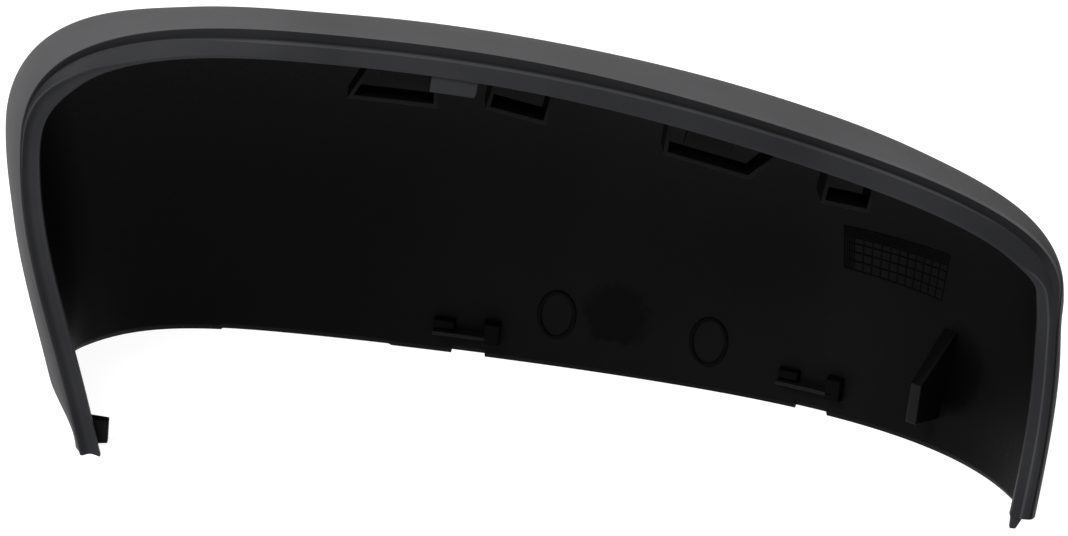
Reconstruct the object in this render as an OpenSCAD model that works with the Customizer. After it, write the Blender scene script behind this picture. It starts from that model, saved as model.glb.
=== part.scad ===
// Wing mirror cover: a one-piece moulded shell, open at the rear and below.
// X runs along the cover, +Y goes from the open rear into the shell, +Z is up.
// It stands on its lower edge, and the origin is under the middle of its box.

/* [Rim outline] */
// Reach of the rim's left foot from the middle
foot_left = 109.5; // [104:0.5:114]
// Reach of the rim's right foot from the middle
foot_right = 108.3; // [104:0.1:112]
// Reach of the left shoulder, the widest point of the rim
shoulder_left = 127.6; // [122:0.1:134]
// Height of the left shoulder
shoulder_left_z = 74; // [66:0.5:80]
// Reach of the right shoulder
shoulder_right = 108.5; // [104:0.5:112]
// Height of the right shoulder
shoulder_right_z = 57; // [48:0.5:62]
// How far left of the middle the crown lies
crown_left = 66; // [58:0.5:74]
// Height of the crown along the rim's plane
crown_z = 103.2; // [96:0.1:112]
// How far right of the middle the brow lies
brow_right = 40; // [32:0.5:48]
// Height of the brow along the rim's plane
brow_z = 91.6; // [85:0.1:97]
// Fall of the brow, in degrees
brow_fall = 13; // [8:0.5:18]
// Forward lean of the rim's plane, in degrees
rim_lean = 4; // [0:0.5:8]

/* [Lower edge] */
// Depth of the two feet behind the rim
foot_depth = 6; // [5.5:0.1:8]
// Reach of the left side where it turns to the front
side_left = 118; // [112:0.5:122]
// Depth of that point
side_left_y = 46; // [40:0.5:52]
// How far left of the middle the deepest point lies
nose_left = 71; // [62:0.5:78]
// Depth of the cover at its deepest point
nose_y = 84; // [76:0.5:92]
// How far right of the middle the front's second point lies
front_right = 40; // [34:0.5:48]
// Depth of that point
front_y = 69; // [64:0.5:74]
// Fall of the front there, seen from above, in degrees
front_fall = 13.5; // [9:0.5:18]
// Reach of the right side
side_right = 109; // [105:0.5:113]
// Depth of that point
side_right_y = 14; // [12:0.5:18]

/* [Skin] */
// Thickness of the wall
wall = 2.5; // [2:0.1:3.2]
// How far the skin is drawn out behind the left foot
swell_foot = 6; // [3:0.5:8]
// How far the skin is drawn out behind the left shoulder
swell_left = 9; // [6:0.5:12]
// How much further it is drawn out at the upper left corner
swell_corner = 7; // [3:0.5:9]
// How far the skin is drawn out behind the crown
swell_crown = 3.5; // [2:0.5:8]
// How far the skin is drawn out behind the brow
swell_brow = 9; // [4:0.5:11]
// How far the skin is drawn out behind the right shoulder
swell_right = 2.5; // [1:0.5:5]
// How far the skin is drawn out above the lower edge
swell_front = 2.5; // [1:0.1:4]

/* [Rim flange] */
// Width of the flange along the crown
flange_top = 7.1; // [5.8:0.1:8]
// Width of the flange along the brow
flange_brow = 7.6; // [6:0.1:8.4]
// Width of the flange down the left side
flange_left = 4.6; // [4:0.1:5.6]
// Width of the flange down the right side
flange_right = 5.2; // [4.2:0.1:6]
// Thickness of the flange at its inner edge
flange_t = 1.8; // [1.4:0.1:2.4]
// Depth of the groove along the flange
groove_d = 1.7; // [0.8:0.1:1.8]
// Depth behind the rim at which the flange's back meets the wall
flange_back = 5; // [4.5:0.1:5.4]
// Radius on the rim's outer corner
rim_edge = 0.5; // [0.3:0.1:0.9]

/* [Clips and ribs] */
// Thickness of the clip walls and ribs
rib_t = 0.9; // [0.8:0.1:1.6]
// Gap between the rim and the front of the sockets and trays
clip_front = 6; // [5.5:0.5:8]
// Inner length of the left socket along the rim
socket_w_left = 12.3; // [10:0.1:14]
// Inner length of the right socket along the rim
socket_w_right = 9.6; // [8:0.1:12]
// Drop of the sockets below the rim
socket_drop = 15.1; // [14:0.1:17]
// Depth of the sockets
socket_deep = 12; // [9:0.5:14]
// Length of the two trays along their lower edge
tray_w = 20.4; // [18:0.1:23]
// Drop of the trays below the rim
tray_drop = 16; // [14:0.1:17.5]
// Depth of the trays
tray_deep = 10; // [8:0.5:13]
// Length of the catch in each tray
catch_w = 11; // [8:0.5:13]
// Gap between the catch and the floor of the tray
catch_gap = 2.6; // [2:0.1:4]
// Length of the short tab between the first tray and the first socket
tab_w = 10.3; // [8:0.1:12]
// Drop of that tab below the flange
tab_drop = 3.8; // [2.5:0.1:5]
// Length of the two hooks over the lower edge
hook_w = 16.5; // [14:0.5:19]
// Reach of the hooks off the wall
hook_reach = 3.2; // [2:0.1:4]
// Length of the two notches in the lower edge
notch_w = 8.2; // [6:0.2:10]
// Height of the two notches
notch_h = 0.9; // [0.5:0.1:1.5]
// Width of the two ring pads
ring_w = 9.6; // [8:0.1:12]
// Height of the two ring pads
ring_h = 13; // [11:0.1:15]
// Width of the ring round each pad
ring_t = 1.1; // [0.8:0.1:1.5]
// Height of the rings off the wall
ring_reach = 0.6; // [0.4:0.1:1]
// Columns in the date grid
grid_columns = 12; // [6:1:12]
// Rows in the date grid
grid_rows = 5; // [3:1:6]
// Height of the date grid's bars off the wall
grid_reach = 0.5; // [0.3:0.1:0.8]
// Height of the bracket's post
post_h = 10.5; // [9:0.5:13]
// Width of the bracket's post
post_w = 3.6; // [3:0.1:4.5]
// Reach of the bracket's post off the wall
post_reach = 9; // [7:0.5:10]
// Height of the gusset above the bracket's post
gusset_h = 20; // [14:0.5:24]
// Length of the tongue under the right foot
tongue_h = 3; // [2:0.1:4]
// Side of the peg inside the left foot
peg = 5.4; // [4.5:0.1:6.5]

/* [Hidden] */
// Nodes of the rim, in its plane, and of the lower edge, seen from above: x, y, heading, handle
rim_nodes = [
    [-foot_left, 0, 106, 33],
    [-shoulder_left, shoulder_left_z, 90, 25],
    [-crown_left, crown_z, 0, 31],
    [brow_right, brow_z, -brow_fall, 46],
    [shoulder_right, shoulder_right_z, -90, 15],
    [foot_right, tongue_h / cos(rim_lean), -95, 31.5],
];
low_nodes = [
    [-foot_left + wall, foot_depth, 92, 14],
    [-side_left, side_left_y, 90, 24],
    [-nose_left, nose_y, 0, 24],
    [front_right, front_y, -front_fall, 44],
    [side_right, side_right_y, -89, 22],
    [foot_right - 0.5, foot_depth, -91, 4],
];
// Values at the six nodes, from the left foot to the right foot
swell_rim = [swell_foot, swell_left, swell_crown, swell_brow, swell_right, 3.5];
swell_low = [0.5, swell_front, swell_front, swell_front, 1.5, 0.5];
reach_rim = [0.55, 0.5, 0.55, 0.55, 0.65, 0.55];
reach_low = [0.65, 0.7, 0.75, 0.75, 0.75, 0.65];
last = len(rim_nodes) - 1;
// Stations along the cover and steps up the wall
steps = [10, 14, 16, 14, 10];
outer_steps = 14;
inner_steps = 12;
// Longest handle of a curve, as a share of the distance between its nodes
handle_limit = 0.6;
// Offsetting a quarter turn inwards shortens its handles by this share of the wall
handle_share = 0.55;
// Where each foot's end goes over to the slope of the rim, in nodes
foot_span = 0.35;
// Spans, in nodes, in which the skin is drawn out further at the corner, the flange widens there,
// its crease crosses from the skin to its inner edge, it widens to the brow and narrows to the right side
corner_span = [0.7, 1.2, 1.7];
widen_span = [0.93, 1.3];
crease_span = [0.9, 1.6];
brow_span = [2, 3];
turn_span = [3.65, 4.2];
// Least and right-side shares of the flange outside its crest
crest_min = 0.06;
crest_right = 0.54;
// Where the first groove is deepest, as a share of the way to the crest, and how much less on top
groove_at = 0.85;
groove_top = 0.45;
// The same for the second groove, between the crest and the inner edge
inner_groove_at = 0.45;
// Rounding of the flange's inner edge, and how far that edge stands back on the right side
nose_r = 0.4;
nose_back = 1;
// Places along the cover, in nodes, and down the wall, as shares of the way from the rim
socket_at = [2.517, 3.178];
socket_turn = [-5, 8];
tray_at = [2.224, 2.916];
tray_lean_left = [0.5, -0.15];
tray_lean_right = [0.1, -0.65];
catch_off = [2.2, -1];
tab_at = 2.362;
hook_at = [2.51, 3.187];
hook_v = [0.969, 0.958];
ring_at = [2.685, 2.975];
ring_v = 0.932;
post_at = 3.496;
post_v = 0.916;
gusset_at = 3.505;
peg_at = 0.045;
// Share of the wall's height that one millimetre takes up, low on the wall
low_share = 0.005;
// Corners of the date grid: top left, top right, bottom left, bottom right
grid_corners = [[3.2, 0.67], [3.452, 0.64], [3.22, 0.75], [3.462, 0.73]];
// Widths of the grid's thin bars and of its heading bar
grid_bars = [0.4, 0.9];
// How much each small feature narrows towards its free end
draft = 0.3;
// Rounding of the clips' inner corners and of the trays' outer ones
clip_r = [0.5, 0.8];
// Thickness of a catch at its tip and root, height of its tip, and its distance behind the mouth
catch_t = [1.2, 3];
catch_tip = 1.5;
catch_back = 0.8;
// Thickness of the tab, and how far it stands behind the rim
tab_t = 1.6;
tab_back = 0.7;
// Lengths, heights and offsets of each hook's two blocks, and the share of the reach the first has
hook_block_w = [5.4, 4.2];
hook_block_h = [2.6, 6];
hook_block_up = [0.3, -2.4];
hook_block_reach = 0.7;
// Thickness of the peg, and how far it hangs below the flange
peg_t = 3;
peg_drop = 2.6;
// Widths of the tongue at its root and tip, as shares of the flange's width
tongue_w = [0.6, 0.3];

function unit(v) = v / norm(v);
function ease(t) = let(c = max(0, min(1, t))) c * c * (3 - 2 * c);
function along(span, s) = ease((s - span[0]) / (span[1] - span[0]));
function direction(a) = [cos(a), sin(a)];

// Cubic curve and its slope
function bend(p, t) = let(u = 1 - t) u * u * u * p[0] + 3 * u * u * t * p[1] + 3 * u * t * t * p[2] + t * t * t * p[3];
function bend_slope(p, t) = let(u = 1 - t) u * u * (p[1] - p[0]) + 2 * u * t * (p[2] - p[1]) + t * t * (p[3] - p[2]);

// A chain of cubic curves through nodes, at station s
function piece(s) = min(floor(s), last - 1);
function controls(n, i) =
    let(a = n[i], b = n[i + 1], p = [a[0], a[1]], q = [b[0], b[1]], most = handle_limit * norm(q - p))
    [p, p + min(a[3], most) * direction(a[2]), q - min(b[3], most) * direction(b[2]), q];
function chain(n, s) = bend(controls(n, piece(s)), s - piece(s));
function heading(n, s) = unit(bend_slope(controls(n, piece(s)), s - piece(s)));
// A smooth run of values through the nodes
function value(v, s) =
    let(i = piece(s), t = s - i, a = v[max(i - 1, 0)], b = v[i], c = v[i + 1], d = v[min(i + 2, last)])
    b + 0.5 * t * (c - a + t * (2 * a - 5 * b + 4 * c - d + t * (3 * (b - c) + d - a)));

// The rim stands in a plane that leans forward
back = [0, cos(rim_lean), -sin(rim_lean)];
function in_rim_plane(p) = [p[0], p[1] * sin(rim_lean), p[1] * cos(rim_lean)];
function rim_side(s) = let(h = heading(rim_nodes, s), k = ease(min(s, last - s) / foot_span))
    unit(k * [-h[1], h[0]] + (1 - k) * [s < last / 2 ? -1 : 1, 0]);
function rim_point(s) = in_rim_plane(chain(rim_nodes, s));
function rim_out(s) = in_rim_plane(rim_side(s));
function low_out(s) = let(h = heading(low_nodes, s)) [-h[1], h[0], 0];
function floor_z(s) = tongue_h * ease(s - last + 1);
function low_point(s) = let(p = chain(low_nodes, s)) [p[0], p[1], floor_z(s)];
function kept_up(p, s) = [p[0], p[1], max(p[2], floor_z(s))];

// How far the skin is drawn out behind the rim
function swell(s) = let(c = corner_span)
    value(swell_rim, s) + swell_corner * (along([c[0], c[1]], s) - along([c[1], c[2]], s));

// Control points of the skin from the rim to the lower edge, at a distance inside its outer face
function wall_controls(s, inside) =
    let(r = rim_point(s), l = low_point(s), ro = rim_out(s), lo = low_out(s), cut = handle_share * inside)
    [
        r - inside * ro,
        r + (value(reach_rim, s) * (l[1] - r[1]) - cut) * back + (swell(s) - inside) * ro,
        l + [0, 0, value(reach_low, s) * (r[2] - l[2]) - cut] + (value(swell_low, s) - inside) * lo,
        l - inside * lo
    ];
function skin(s, v, inside) = kept_up(bend(wall_controls(s, inside), v), s);
function behind_rim(s, v, inside) = (skin(s, v, inside) - rim_point(s)) * back;
// The share of the way down at which the wall is a given depth behind the rim
function at_depth(s, depth, inside, lo = 0, hi = 1, n = 14) = n == 0 ? (lo + hi) / 2 :
    behind_rim(s, (lo + hi) / 2, inside) < depth
        ? at_depth(s, depth, inside, (lo + hi) / 2, hi, n - 1)
        : at_depth(s, depth, inside, lo, (lo + hi) / 2, n - 1);

// Width of the flange, and the share of it outside its crest: least on the left, most on top
function flange_width(s) =
    flange_left + (flange_top - flange_left) * along(widen_span, s)
    + (flange_brow - flange_top) * along(brow_span, s) - (flange_brow - flange_right) * along(turn_span, s);
function crest(s) =
    crest_min + (1 - 2 * crest_min) * along(crease_span, s)
    - (1 - crest_min - crest_right) * along(turn_span, s);
// The flange's section, as distance inwards and depth behind the rim
function flange(s) =
    let(w = flange_width(s), c = crest(s), nose = w - nose_r, top = rim_edge + (nose - rim_edge) * c,
        sink = nose_back * along(turn_span, s))
    [
        [0, rim_edge],
        [rim_edge, 0],
        [rim_edge + (top - rim_edge) * (groove_at - groove_top * c), groove_d * min(1, 1.5 * c)],
        [top, 0],
        [top + (nose - top) * inner_groove_at, groove_d * (1 - c)],
        [nose, sink],
        [w, sink + nose_r],
        [w, sink + nose_r + flange_t],
    ];

// One closed section through the wall and the flange
function section(s) =
    let(r = rim_point(s), ro = rim_out(s), v0 = at_depth(s, flange_back, wall))
    concat(
        [for (k = [0:outer_steps - 1]) skin(s, 1 - k / outer_steps, 0)],
        [for (p = flange(s)) kept_up(r - p[0] * ro + p[1] * back, s)],
        [for (k = [0:inner_steps]) skin(s, v0 + (1 - v0) * k / inner_steps, wall)]
    );

stations = concat([for (i = [0:last - 1]) for (k = [0:steps[i] - 1]) i + k / steps[i]], [last]);
sections = [for (s = stations) section(s)];
ring = len(sections[0]);
points = [for (c = sections) for (p = c) p];
low_corner = [min([for (p = points) p[0]]), min([for (p = points) p[1]])];
high_corner = [max([for (p = points) p[0]]), max([for (p = points) p[1]])];
middle = (low_corner + high_corner) / 2;

module shell() {
    quads = [
        for (i = [0:len(stations) - 2]) for (j = [0:ring - 1])
            let(a = i * ring + j, b = i * ring + (j + 1) % ring)
            each [[a, b + ring, b], [a, a + ring, b + ring]]
    ];
    ends = [
        [for (j = [0:ring - 1]) j],
        [for (j = [ring - 1:-1:0]) (len(stations) - 1) * ring + j],
    ];
    polyhedron(points, concat(quads, ends), convexity = 8);
}

// Places children at the rim: x along it, y into the shell, z outwards
module at_rim(s) {
    h = in_rim_plane([rim_side(s)[1], -rim_side(s)[0]]);
    o = rim_out(s);
    p = rim_point(s);
    multmatrix([
        [h[0], back[0], o[0], p[0]],
        [h[1], back[1], o[1], p[1]],
        [h[2], back[2], o[2], p[2]],
    ]) children();
}

// Height of the inner face over the rim's line, at a depth behind it
function roof(s, depth) = (skin(s, at_depth(s, depth, wall), wall) - rim_point(s)) * rim_out(s);

// Places children on the inner face: x along the cover, y up, z off the wall
module on_wall(s, v) {
    p = skin(s, v, wall);
    step = 0.02;
    across = skin(s + step, v, wall) - skin(s - step, v, wall);
    up = skin(s, v - step, wall) - skin(s, v + step, wall);
    off = unit(cross(across, up));
    x = unit([across[0], across[1], 0]);
    y = cross(off, x);
    multmatrix([
        [x[0], y[0], off[0], p[0]],
        [x[1], y[1], off[1], p[1]],
        [x[2], y[2], off[2], p[2]],
    ]) children();
}

// An upright outline drawn through a depth
module drawn(front, deep) translate([0, front + deep, 0]) rotate([90, 0, 0]) linear_extrude(deep) children();

// A block on the inner face that narrows towards its free end
module block(x, y, w, h, reach) hull() {
    translate([x, y, -wall / 2]) cube([w, h, wall / 2]);
    translate([x + draft, y + draft, 0]) cube([w - 2 * draft, h - 2 * draft, reach]);
}

// A square socket hanging behind the flange, open front and back
module socket(s, w, turn) {
    rise = socket_drop + roof(s, clip_front + socket_deep / 2) + wall / 2;
    outer = w + 2 * rib_t;
    at_rim(s) translate([0, 0, -socket_drop]) rotate([0, -turn, 0])
        drawn(clip_front, socket_deep) difference() {
            translate([-outer / 2, 0]) square([outer, rise]);
            offset(clip_r[0]) offset(-clip_r[0]) translate([-w / 2, rib_t]) square([w, rise + wall]);
        }
}

// A tray with sloping ends hanging behind the flange, with a catch in the middle of its mouth
module tray(s, lean_left, lean_right, off) {
    rise = tray_drop + roof(s, clip_front + tray_deep / 2) + wall / 2;
    root = tray_drop + roof(s, clip_front + catch_back + catch_t[0]);
    half = tray_w / 2;
    outline = [[lean_left * rise - half, rise], [-half, 0], [half, 0], [half - lean_right * rise, rise]];
    at_rim(s) translate([0, 0, -tray_drop]) {
        drawn(clip_front, tray_deep) difference() {
            offset(clip_r[1]) offset(-clip_r[1]) polygon(outline);
            offset(clip_r[0]) offset(-clip_r[0]) translate([0, rib_t]) offset(delta = -rib_t)
                polygon([for (p = outline) [p[0], p[1] > 0 ? p[1] + 2 * wall : 0]]);
        }
        translate([off - catch_w / 2, clip_front + catch_back, 0]) hull() {
            translate([0, 0, rib_t + catch_gap]) cube([catch_w, catch_t[0], catch_tip]);
            translate([0, catch_t[0] / 2, root]) cube([catch_w, catch_t[1], wall / 2]);
        }
    }
}

// A short tab below the flange, between the first tray and the first socket
module tab(s) {
    root = flange_width(s);
    at_rim(s) translate([-tab_w / 2, tab_back, -root]) hull() {
        translate([0, draft, -tab_drop]) cube([tab_w - draft, tab_t - 2 * draft, 1]);
        translate([0, draft, 1 - tab_drop]) cube([tab_w, tab_t - draft, 1]);
        cube([tab_w, tab_t, 1]);
    }
}

// A hook over the lower edge: a ledge between two blocks
module hook(s, v) on_wall(s, v) {
    half = hook_w / 2;
    w = hook_block_w;
    translate([-half, -rib_t, -wall / 2]) cube([hook_w - w[1] / 2, rib_t, wall / 2 + hook_reach]);
    block(-half, hook_block_up[0], w[0], hook_block_h[0], hook_reach * hook_block_reach);
    block(half - w[1], hook_block_up[1], w[1], hook_block_h[1], hook_reach);
}

// A low oval pad with a ring round its edge
module ring_pad(s) on_wall(s, ring_v) translate([0, 0, -wall / 2]) linear_extrude(wall / 2 + ring_reach)
    difference() {
        scale([ring_w, ring_h]) circle(d = 1, $fn = 32);
        offset(delta = -ring_t) scale([ring_w, ring_h]) circle(d = 1, $fn = 32);
    }

// A raised date grid of plain bars, with no figures in it
function grid_place(i, j) =
    let(u = i / grid_columns, w = j / grid_rows, c = grid_corners)
    (1 - w) * ((1 - u) * c[0] + u * c[1]) + w * ((1 - u) * c[2] + u * c[3]);
module grid_bar(from, to, bar = grid_bars[0]) hull() {
    for (e = [from, to]) on_wall(e[0], e[1])
        translate([-bar / 2, -bar / 2, -wall / 2]) cube([bar, bar, wall / 2 + grid_reach]);
}
module date_grid() {
    third = grid_columns / 3;
    for (i = [0:grid_columns]) grid_bar(grid_place(i, 0), grid_place(i, grid_rows));
    for (j = [0:grid_rows]) for (k = [0:2])
        grid_bar(grid_place(k * third, j), grid_place((k + 1) * third, j), grid_bars[j == 0 ? 1 : 0]);
}

// An upright post standing off the wall, on a web that rakes up to the wall behind it
module bracket() hull() {
    on_wall(post_at, post_v) block(-post_w / 2, -post_h / 2, post_w, post_h, post_reach);
    on_wall(gusset_at, post_v - (post_h / 2 + gusset_h) * low_share)
        translate([-post_w / 2, 0, -wall / 2]) cube([post_w, 1, wall / 2]);
}

// The tongue under the right foot, which carries on the flange's inner half
module tongue() {
    w = flange_right * tongue_w;
    translate([rim_point(last)[0] - flange_right, rim_point(last)[1] + nose_back, 0]) hull() {
        translate([0, 0, tongue_h]) cube([w[0], flange_t, wall]);
        cube([w[1], flange_t - draft, draft]);
    }
}

// A square peg on the inner face of the left foot
module foot_peg() at_rim(peg_at) translate([-peg / 2, flange_back, 0]) hull() {
    translate([0, 0, -flange_left - peg_drop]) cube([peg, peg_t, wall / 2]);
    translate([-draft, -draft, -1.2 * wall]) cube([peg + 2 * draft, peg_t + 2 * draft, wall / 2]);
}

module notch(s) {
    p = low_point(s);
    o = low_out(s);
    translate([p[0], p[1], 0]) rotate([0, 0, atan2(o[1], o[0]) - 90])
        translate([-notch_w / 2, -2 * wall, -1]) cube([notch_w, 3 * wall, notch_h + 1]);
}

module mirror_cover() color("#2b2b2e") translate([-middle[0], -middle[1], 0]) difference() {
    union() {
        shell();
        for (i = [0, 1]) {
            socket(socket_at[i], [socket_w_left, socket_w_right][i], socket_turn[i]);
            tray(tray_at[i], tray_lean_left[i], tray_lean_right[i], catch_off[i]);
            hook(hook_at[i], hook_v[i]);
        }
        tab(tab_at);
        for (s = ring_at) ring_pad(s);
        date_grid();
        bracket();
        tongue();
        foot_peg();
    }
    for (s = hook_at) notch(s);
}

mirror_cover();
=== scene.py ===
import bpy, bmesh, math
import numpy as np
from mathutils import Matrix, Vector


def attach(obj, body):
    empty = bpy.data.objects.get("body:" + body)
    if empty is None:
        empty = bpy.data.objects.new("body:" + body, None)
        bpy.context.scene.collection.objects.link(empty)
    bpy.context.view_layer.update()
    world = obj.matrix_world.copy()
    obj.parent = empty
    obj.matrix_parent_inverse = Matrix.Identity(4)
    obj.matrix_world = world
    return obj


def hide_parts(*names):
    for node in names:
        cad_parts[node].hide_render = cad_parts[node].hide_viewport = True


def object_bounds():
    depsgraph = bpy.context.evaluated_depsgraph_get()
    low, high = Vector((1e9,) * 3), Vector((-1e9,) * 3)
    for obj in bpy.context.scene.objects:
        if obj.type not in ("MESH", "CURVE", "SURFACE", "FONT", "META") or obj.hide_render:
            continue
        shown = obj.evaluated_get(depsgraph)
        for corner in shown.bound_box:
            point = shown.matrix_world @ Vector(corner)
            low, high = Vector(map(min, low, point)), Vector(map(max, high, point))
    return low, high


# Wing mirror cover, seen from its open rear. Sizes are in millimetres, and meshes are made in metres.
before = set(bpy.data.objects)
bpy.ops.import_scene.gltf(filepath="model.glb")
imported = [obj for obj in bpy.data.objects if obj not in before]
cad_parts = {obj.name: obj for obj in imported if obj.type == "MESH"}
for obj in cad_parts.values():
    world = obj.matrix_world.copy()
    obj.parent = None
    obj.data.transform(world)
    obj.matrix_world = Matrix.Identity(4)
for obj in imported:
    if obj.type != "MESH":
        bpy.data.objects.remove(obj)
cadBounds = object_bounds()
print("frame loaded:", list(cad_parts))

# The cover's form. A place along it is a number, from 0 at the left foot through the rim's nodes to 5 at
# the right foot, and a span is the places between which a value grows, or grows and fades again.
coverShape = {
    "rim": [  # x, height in the rim's plane, heading, handle
        (-109.5, 0, 106, 33), (-127.6, 74, 90, 25), (-66, 103.2, 0, 31),
        (40, 91.6, -13, 46), (108.5, 57, -90, 15), (108.3, 3.007, -95, 31.5)],
    "lowerEdge": [  # x, depth, heading, handle
        (-109, 6, 94.5, 17.2), (-114.7, 64.8, 55.2, 17.9), (-71, 84, 0, 21.2),
        (40, 69.6, -14.5, 39.8), (109, 12.4, -78.3, 30), (107.8, 6, -91, 4)],
    "handleLimit": 0.6,  # longest handle, as a share of the way between two nodes
    "rimLean": 4.0,
    "footSpan": 0.35, "footTaper": 0.2,

    # the skin
    "wall": 2.5,
    "innerHandle": 0.55,  # what the inner face's handles lose, as a share of the wall
    "swellRim": [6.6, 10.3, 3.3, 9.1, 2.4, 3.2],  # how far the skin is drawn out behind each node of the rim
    "swellCorner": 6.9, "cornerSpan": (0.7, 1.2, 1.7),
    "swellBrow": -1.9, "swellBrowSpan": (2.15, 2.7, 3.25),
    "swellTurn": 1.9, "swellTurnSpan": (3.3, 3.65, 4.0),
    "swellSide": 1.3, "sideSpan": (4.02, 4.4, 4.97),
    "swellLower": [3.9, 3.5, 0.7, 3.5, 2.0, 0.5],  # the same above the lower edge
    "reachRim": [0.55, 0.5, 0.55, 0.55, 0.65, 0.55],
    "reachLower": [0.65, 0.7, 0.75, 0.75, 0.75, 0.65],

    # the flange
    "flangeLeft": 4.6, "flangeTop": 7.1, "flangeBrow": 7.6, "flangeRight": 4.6,
    "widenSpan": (0.93, 1.3), "browSpan": (2, 3), "turnSpan": (3.65, 4.2),
    "flangeThickness": 1.8, "flangeBack": 5.0,
    "rimEdge": 0.5, "rimRound": 0.5, "roundSpan": (2.4, 3.2),
    "creaseSpan": (0.9, 1.6), "crestMin": 0.03, "crestRight": 0.5,
    "grooveDepth": 1.7, "grooveOpening": 1.5,
    "grooveShares": (0.35, 0.4, 0.5), "grooveSpan": (1.5, 1.9), "grooveBrow": -0.06,
    "stepWidth": 0.4, "stepHeight": 0.6, "stepGap": 0.05, "stepIn": (1.6, 1.95), "stepOut": (3.3, 3.75),
    "ridgeHeight": 0.7,
    "dipAt": 0.45, "dipLoss": 0.6,  # the hollow between crest and nose, and what it loses on the right
    "noseCut": 0.4, "noseBack": 1.0, "noseStep": 0.4, "backStep": (1.2, 2.6),
    "bendRadius": 0.3, "stepRadius": 0.25, "dipRadius": 1.2, "noseRadius": 0.45,

    # the lower edge
    "tongue": 3.0,
    "notchAt": [2.51, 3.215], "notchWidth": 8.2, "notchHeight": 0.9,
    "raisedSpan": (1.822, 2.348), "raised": 0.35,
    "lipRadius": 0.3, "lipFootRadius": 0.2, "lipThickness": 1.1, "lipHeight": 1.8, "lipShare": 0.4,

    # the mesh
    "stations": [70, 110, 120, 110, 70],  # sections from node to node
    "notchClear": 0.004, "notchSlope": 0.0006,
    "outerSteps": 46, "innerSteps": 44, "outerCrowding": 0.9, "innerCrowding": 1.1,
    "cornerSteps": 4, "halvings": 16, "nudge": 0.01,
}


def ease(t):
    c = min(max(t, 0.0), 1.0)
    return c * c * (3 - 2 * c)


def along(span, s):
    return ease((s - span[0]) / (span[1] - span[0]))


def bulge(span, s):  # grows over the first part of the span and fades over the second
    return along(span[:2], s) - along(span[1:], s)


def unit(v):
    return v / np.linalg.norm(v)


def chainPoint(nodes, s):  # point and heading on a chain of cubic curves
    i = min(int(s), len(nodes) - 2)
    t = s - i
    a, b = nodes[i], nodes[i + 1]
    p, q = np.array(a[:2], float), np.array(b[:2], float)
    most = coverShape["handleLimit"] * np.linalg.norm(q - p)
    turnA, turnB = math.radians(a[2]), math.radians(b[2])
    pOut = p + min(a[3], most) * np.array([math.cos(turnA), math.sin(turnA)])
    qIn = q - min(b[3], most) * np.array([math.cos(turnB), math.sin(turnB)])
    point = (1 - t) ** 3 * p + 3 * (1 - t) ** 2 * t * pOut + 3 * (1 - t) * t * t * qIn + t ** 3 * q
    slope = (1 - t) ** 2 * (pOut - p) + 2 * (1 - t) * t * (qIn - pOut) + t * t * (q - qIn)
    return point, unit(slope)


def smoothValue(values, s):  # a smooth run of values through the nodes
    i = min(int(s), len(values) - 2)
    t = s - i
    a, b, c, d = values[max(i - 1, 0)], values[i], values[i + 1], values[min(i + 2, len(values) - 1)]
    return b + 0.5 * t * (c - a + t * (2 * a - 5 * b + 4 * c - d + t * (3 * (b - c) + d - a)))


lean = math.radians(coverShape["rimLean"])
backward = np.array([0, math.cos(lean), -math.sin(lean)])  # into the shell, square to the rim's plane
lastNode = len(coverShape["rim"]) - 1
notchHalf = []  # half the width of each notch, in places along the cover
for notchPlace in coverShape["notchAt"]:
    nudge = coverShape["nudge"]
    before, after = (chainPoint(coverShape["lowerEdge"], notchPlace + side * nudge)[0] for side in (-1, 1))
    notchHalf.append(nudge * coverShape["notchWidth"] / np.linalg.norm(after - before))


def onRimPlane(p):
    return np.array([p[0], p[1] * math.sin(lean), p[1] * math.cos(lean)])


def rimPoint(s):
    return onRimPlane(chainPoint(coverShape["rim"], s)[0])


def rimSide(s):  # outwards from the rim, levelled at the two feet
    heading = chainPoint(coverShape["rim"], s)[1]
    k = ease(min(s, lastNode - s) / coverShape["footSpan"])
    level = np.array([-1.0 if s < lastNode / 2 else 1.0, 0.0])
    return unit(k * np.array([-heading[1], heading[0]]) + (1 - k) * level)


def footRise(s):  # the right foot stands on its tongue
    return coverShape["tongue"] * ease(s - lastNode + 1)


def floorHeight(s):
    height = footRise(s)
    if coverShape["raisedSpan"][0] < s < coverShape["raisedSpan"][1]:
        height += coverShape["raised"]
    for place, half in zip(coverShape["notchAt"], notchHalf):
        if abs(s - place) < half:
            height += coverShape["notchHeight"]
    return height


def swellBehindRim(s):
    swell = smoothValue(coverShape["swellRim"], s) * ease(s / coverShape["footTaper"])
    for most, span in (("swellCorner", "cornerSpan"), ("swellBrow", "swellBrowSpan"),
                       ("swellTurn", "swellTurnSpan"), ("swellSide", "sideSpan")):
        swell += coverShape[most] * bulge(coverShape[span], s)
    return swell


def wallControls(s, inside):  # control points of the skin, from the rim down to the lower edge
    shape = coverShape
    rim, rimOut = rimPoint(s), onRimPlane(rimSide(s))
    edge, heading = chainPoint(shape["lowerEdge"], s)
    low, lowOut = np.array([edge[0], edge[1], footRise(s)]), np.array([-heading[1], heading[0], 0])
    cut = shape["innerHandle"] * inside
    rimReach = smoothValue(shape["reachRim"], s) * (low[1] - rim[1]) - cut
    lowReach = smoothValue(shape["reachLower"], s) * (rim[2] - low[2]) - cut
    return np.array([
        rim - inside * rimOut,
        rim + rimReach * backward + (swellBehindRim(s) - inside) * rimOut,
        low + np.array([0, 0, lowReach]) + (smoothValue(shape["swellLower"], s) - inside) * lowOut,
        low - inside * lowOut])


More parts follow.
